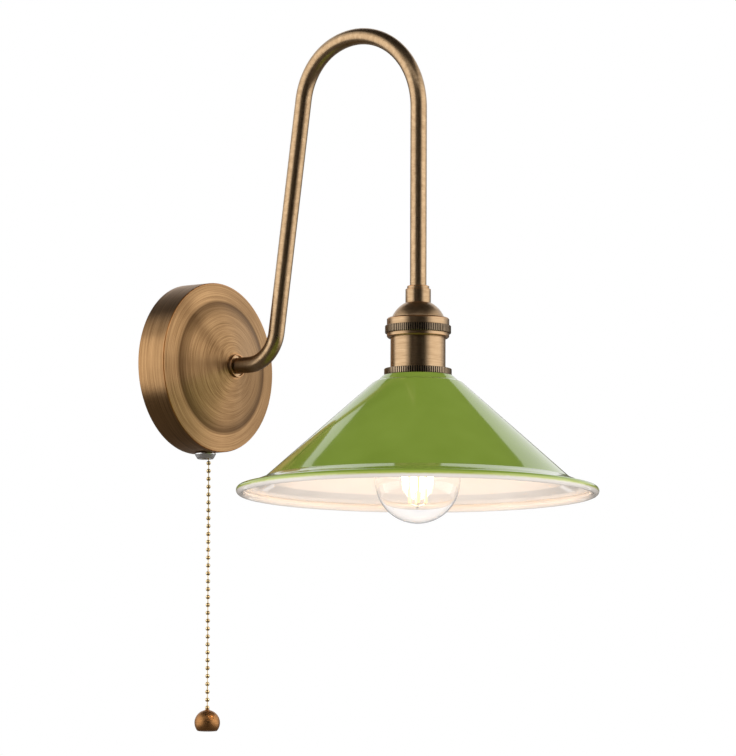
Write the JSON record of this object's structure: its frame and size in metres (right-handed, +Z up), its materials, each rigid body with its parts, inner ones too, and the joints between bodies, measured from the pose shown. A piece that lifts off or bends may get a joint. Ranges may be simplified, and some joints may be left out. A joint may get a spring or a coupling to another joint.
{
  "type": "gooseneck wall sconce",
  "caption": "Wall light with a round spun plate, a tall gooseneck arm, a conical enamel shade over a clear bulb, and a bead-chain pull switch.",
  "frame": {"origin": "centre of the wall plate's back, on the wall plane, between the two wall screws", "axes": "+Z up, the wall is the plane Y = 0 and the lamp stands out from it along -Y, +X to the right of someone who faces the wall"},
  "size_m": [0.252, 0.3301, 0.4873],
  "materials": {
    "antique_brass": "brushed antique brass",
    "dark_knurled_brass": "dark antique brass, straight knurling",
    "green_enamel": "gloss green outside, white inside",
    "zinc_steel": "zinc plated",
    "brass_screws": "antique brass",
    "bright_brass": "plain brass",
    "chain_brass": "polished bead chain",
    "ball_brass": "satin antique brass",
    "nickel": "bright nickel",
    "terminal_nylon": "natural nylon",
    "switch_black": "black phenolic",
    "switch_white": "white acetal",
    "sheath_white": "soft sheath",
    "core_brown": "brown insulation",
    "core_blue": "blue insulation",
    "core_green_yellow": "green and yellow insulation",
    "porcelain": "glazed",
    "bulb_clear": "clear",
    "bulb_metal": "nickel plated",
    "bulb_black": "black glass",
    "filament_glow": "yellow phosphor"
  },
  "bodies": {
    "fixture": {"wall_plate": "antique_brass", "arm_tube": "antique_brass", "arm_ferrule": "antique_brass", "holder_collar": "antique_brass", "holder_cap": "antique_brass", "holder_shell": "antique_brass", "holder_grub_screw": "antique_brass", "cap_ring": "dark_knurled_brass", "shade_ring": "dark_knurled_brass", "shade_ring_lower": "dark_knurled_brass", "shade": "green_enamel", "mounting_bracket": "zinc_steel", "plate_catch": "zinc_steel", "arm_nipple": "zinc_steel", "arm_lock_washer": "zinc_steel", "arm_lock_nut": "zinc_steel", "holder_nipple": "zinc_steel", "holder_lock_nut": "zinc_steel", "terminal_fixing_screw": "zinc_steel", "switch_rivets": "zinc_steel", "wheel_axle": "zinc_steel", "return_spring": "zinc_steel", "bush_nut": "zinc_steel", "plate_screw": "brass_screws", "terminal_inserts": "bright_brass", "terminal_screws": "bright_brass", "earth_ring_terminal": "bright_brass", "earth_screw": "bright_brass", "holder_terminals": "bright_brass", "holder_terminal_screws": "bright_brass", "screw_sleeve": "bright_brass", "centre_contact": "bright_brass", "switch_contacts": "bright_brass", "bell_nut": "nickel", "terminal_block": "terminal_nylon", "switch_case": "switch_black", "switch_cover": "switch_black", "flex_sheath": "sheath_white", "live_core_wall": "core_brown", "live_core_lamp": "core_brown", "switch_feed": "core_brown", "neutral_core_wall": "core_blue", "neutral_core_lamp": "core_blue", "earth_core_wall": "core_green_yellow", "earth_core_lamp": "core_green_yellow", "holder_insert": "porcelain", "bulb_glass": "bulb_clear", "bulb_stem": "bulb_clear", "bulb_cap": "bulb_metal", "bulb_contact": "bulb_metal", "filament_supports": "bulb_metal", "bulb_insulator": "bulb_black", "filaments": "filament_glow"},
    "chain_slider": {"chain_top": "chain_brass"},
    "chain_pivot": {"chain_pivot_bead": "chain_brass"},
    "pull_chain": {"bead_chain": "chain_brass", "pull_ball": "ball_brass"},
    "switch_wheel": {"pull_wheel": "switch_white", "wheel_beads": "chain_brass"},
    "switch_rotor": {"contact_rotor": "switch_white"}
  },
  "joints": [
    {"name": "chain_pull", "type": "slide", "parent": "fixture", "child": "chain_slider", "axis": [0, 0, -1], "range_m": [0, 0.0086], "stiffness_N_per_m": 600, "springref_m": -0.008},
    {"name": "chain_swing_out", "type": "hinge", "parent": "chain_slider", "child": "chain_pivot", "pos_m": [0.0015, -0.0134, -0.06296], "axis": [1, 0, 0], "range_deg": [-35, 1]},
    {"name": "chain_swing_side", "type": "hinge", "parent": "chain_pivot", "child": "pull_chain", "pos_m": [0.0015, -0.0134, -0.06855], "axis": [0, 1, 0], "range_deg": [-35, 35]},
    {"name": "wheel_turn", "type": "hinge", "parent": "fixture", "child": "switch_wheel", "pos_m": [-0.004, -0.0134, -0.044], "axis": [0, 1, 0], "range_deg": [0, 90]},
    {"name": "rotor_turn", "type": "hinge", "parent": "fixture", "child": "switch_rotor", "pos_m": [-0.004, -0.0177, -0.044], "axis": [0, 1, 0], "range_deg": [0, 90]}
  ],
  "couplings": [
    {"joint": "wheel_turn", "follows": "chain_pull", "rad_per_m": 181.82},
    {"joint": "rotor_turn", "follows": "chain_pull", "rad_per_m": 181.82}
  ]
}
